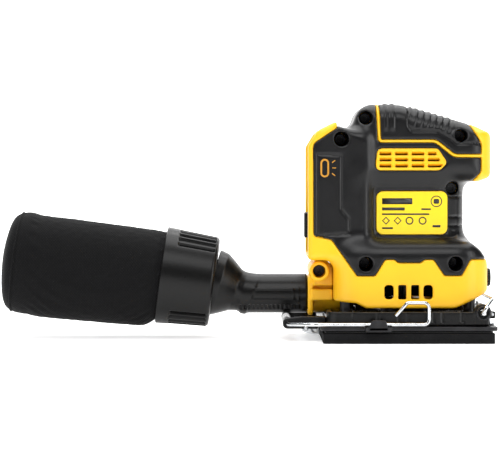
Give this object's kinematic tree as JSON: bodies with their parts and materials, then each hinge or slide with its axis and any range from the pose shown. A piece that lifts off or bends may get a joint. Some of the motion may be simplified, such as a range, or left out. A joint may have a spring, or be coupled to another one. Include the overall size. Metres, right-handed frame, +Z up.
{
  "type": "orbital sander",
  "caption": "Palm-grip orbital finishing sander with a square pad, wire paper clamps and a tilted cylindrical dust bag behind.",
  "frame": {"origin": "centre of the sanding face, on the pad bearing's axis", "axes": "+Z up through the grip, +X towards the tool's nose, away from the dust bag, and +Y to the tool's left"},
  "size_m": [0.3111, 0.1238, 0.148],
  "materials": {
    "yellow_shell": "fine satin moulded nylon, bright yellow",
    "black_plastic": "satin moulded nylon, black",
    "rubber": "soft matt overmoulded rubber, black",
    "foam": "closed-cell foam, black",
    "fabric": "dense black filter knit with a fine diagonal weave",
    "steel": "bright zinc-plated steel",
    "dark_steel": "black-coated steel",
    "copper": "enamelled copper wire",
    "lamination": "stacked electrical steel",
    "board": "coated circuit board",
    "label": "smooth printed label, yellow",
    "red_lead": "red insulated lead"
  },
  "bodies": {
    "housing": {"right_housing_shell": "yellow_shell", "left_housing_shell": "yellow_shell", "right_overmould": "rubber", "left_overmould": "rubber", "grip_overmould": "rubber", "right_vent_grille": "yellow_shell", "left_vent_grille": "yellow_shell", "rating_plate": "label", "housing_screw_1": "dark_steel", "housing_screw_2": "dark_steel", "housing_screw_3": "dark_steel", "housing_screw_4": "dark_steel", "housing_screw_5": "dark_steel", "housing_screw_6": "dark_steel", "housing_screw_7": "dark_steel", "stator_core": "lamination", "lower_winding": "copper", "upper_winding": "copper", "lower_bearing": "steel", "upper_bearing": "steel", "control_module": "board", "switch_module": "black_plastic", "dust_outlet": "yellow_shell", "battery_receiver": "black_plastic", "terminal_block": "black_plastic", "positive_contact": "steel", "negative_contact": "steel", "positive_lead": "red_lead", "negative_lead": "black_plastic", "dust_duct": "black_plastic", "rubber_leg_1": "rubber", "rubber_leg_2": "rubber", "rubber_leg_3": "rubber", "rubber_leg_4": "rubber"},
    "rotor": {"motor_shaft": "steel", "rotor_core": "lamination", "counterweight": "dark_steel", "dust_fan": "black_plastic"},
    "platen": {"platen_body": "black_plastic", "pad_bearing": "steel", "base_plate": "dark_steel", "pad_backing": "black_plastic", "foam_pad": "foam", "rear_clamp_bracket": "black_plastic", "rear_jaw_pin": "steel", "rear_clamp_spring": "steel", "front_jaw_pin": "steel", "front_clamp_spring": "steel"},
    "rear_lever": {"rear_clamp_lever": "steel", "rear_clamp_roller": "rubber"},
    "rear_jaw": {"rear_clamp_jaw": "steel"},
    "front_lever": {"front_clamp_lever": "steel"},
    "front_jaw": {"front_clamp_jaw": "steel"},
    "button": {"power_button": "rubber"},
    "dial": {"speed_dial": "black_plastic"},
    "bag_neck": {"bag_neck": "black_plastic"},
    "bag": {"bag_collar": "black_plastic", "bag_mouth_frame": "black_plastic", "dust_bag": "fabric", "bag_end_hoop": "black_plastic"}
  },
  "joints": [
    {"name": "motor_spin", "type": "hinge", "parent": "housing", "child": "rotor", "pos_m": [-0.0008, 0, 0.06], "axis": [0, 0, 1], "continuous": true},
    {"name": "pad_orbit", "type": "hinge", "parent": "rotor", "child": "platen", "pos_m": [0, 0, 0.015], "axis": [0, 0, 1], "continuous": true},
    {"name": "rear_lever_lift", "type": "hinge", "parent": "platen", "child": "rear_lever", "pos_m": [-0.0745, 0, 0.0109], "axis": [0, -1, 0], "range_deg": [0, 35]},
    {"name": "rear_jaw_open", "type": "hinge", "parent": "platen", "child": "rear_jaw", "pos_m": [-0.063, 0, 0.0084], "axis": [0, 1, 0], "range_deg": [0, 14]},
    {"name": "front_lever_lift", "type": "hinge", "parent": "platen", "child": "front_lever", "pos_m": [0.0456, 0, 0.0189], "axis": [0, 1, 0], "range_deg": [0, 35]},
    {"name": "front_jaw_open", "type": "hinge", "parent": "platen", "child": "front_jaw", "pos_m": [0.0522, 0, 0.0174], "axis": [0, -1, 0], "range_deg": [0, 14]},
    {"name": "power_button_press", "type": "slide", "parent": "housing", "child": "button", "axis": [-1, 0, 0], "range_m": [0, 0.0015], "stiffness_N_per_m": 500},
    {"name": "speed_dial_turn", "type": "hinge", "parent": "housing", "child": "dial", "pos_m": [0.052, 0, 0.0385], "axis": [1, 0, 0], "range_deg": [0, 270]},
    {"name": "bag_pull_off", "type": "slide", "parent": "housing", "child": "bag_neck", "axis": [-1, 0, 0], "range_m": [0, 0.045]},
    {"name": "bag_twist", "type": "hinge", "parent": "bag_neck", "child": "bag", "pos_m": [-0.1214, 0, 0.0354], "axis": [-0.9903, 0, 0.1392], "range_deg": [0, 30]}
  ],
  "couplings": [
    {"joint": "pad_orbit", "follows": "motor_spin", "ratio": -1},
    {"joint": "rear_jaw_open", "follows": "rear_lever_lift", "ratio": 0.4},
    {"joint": "front_jaw_open", "follows": "front_lever_lift", "ratio": 0.4}
  ]
}
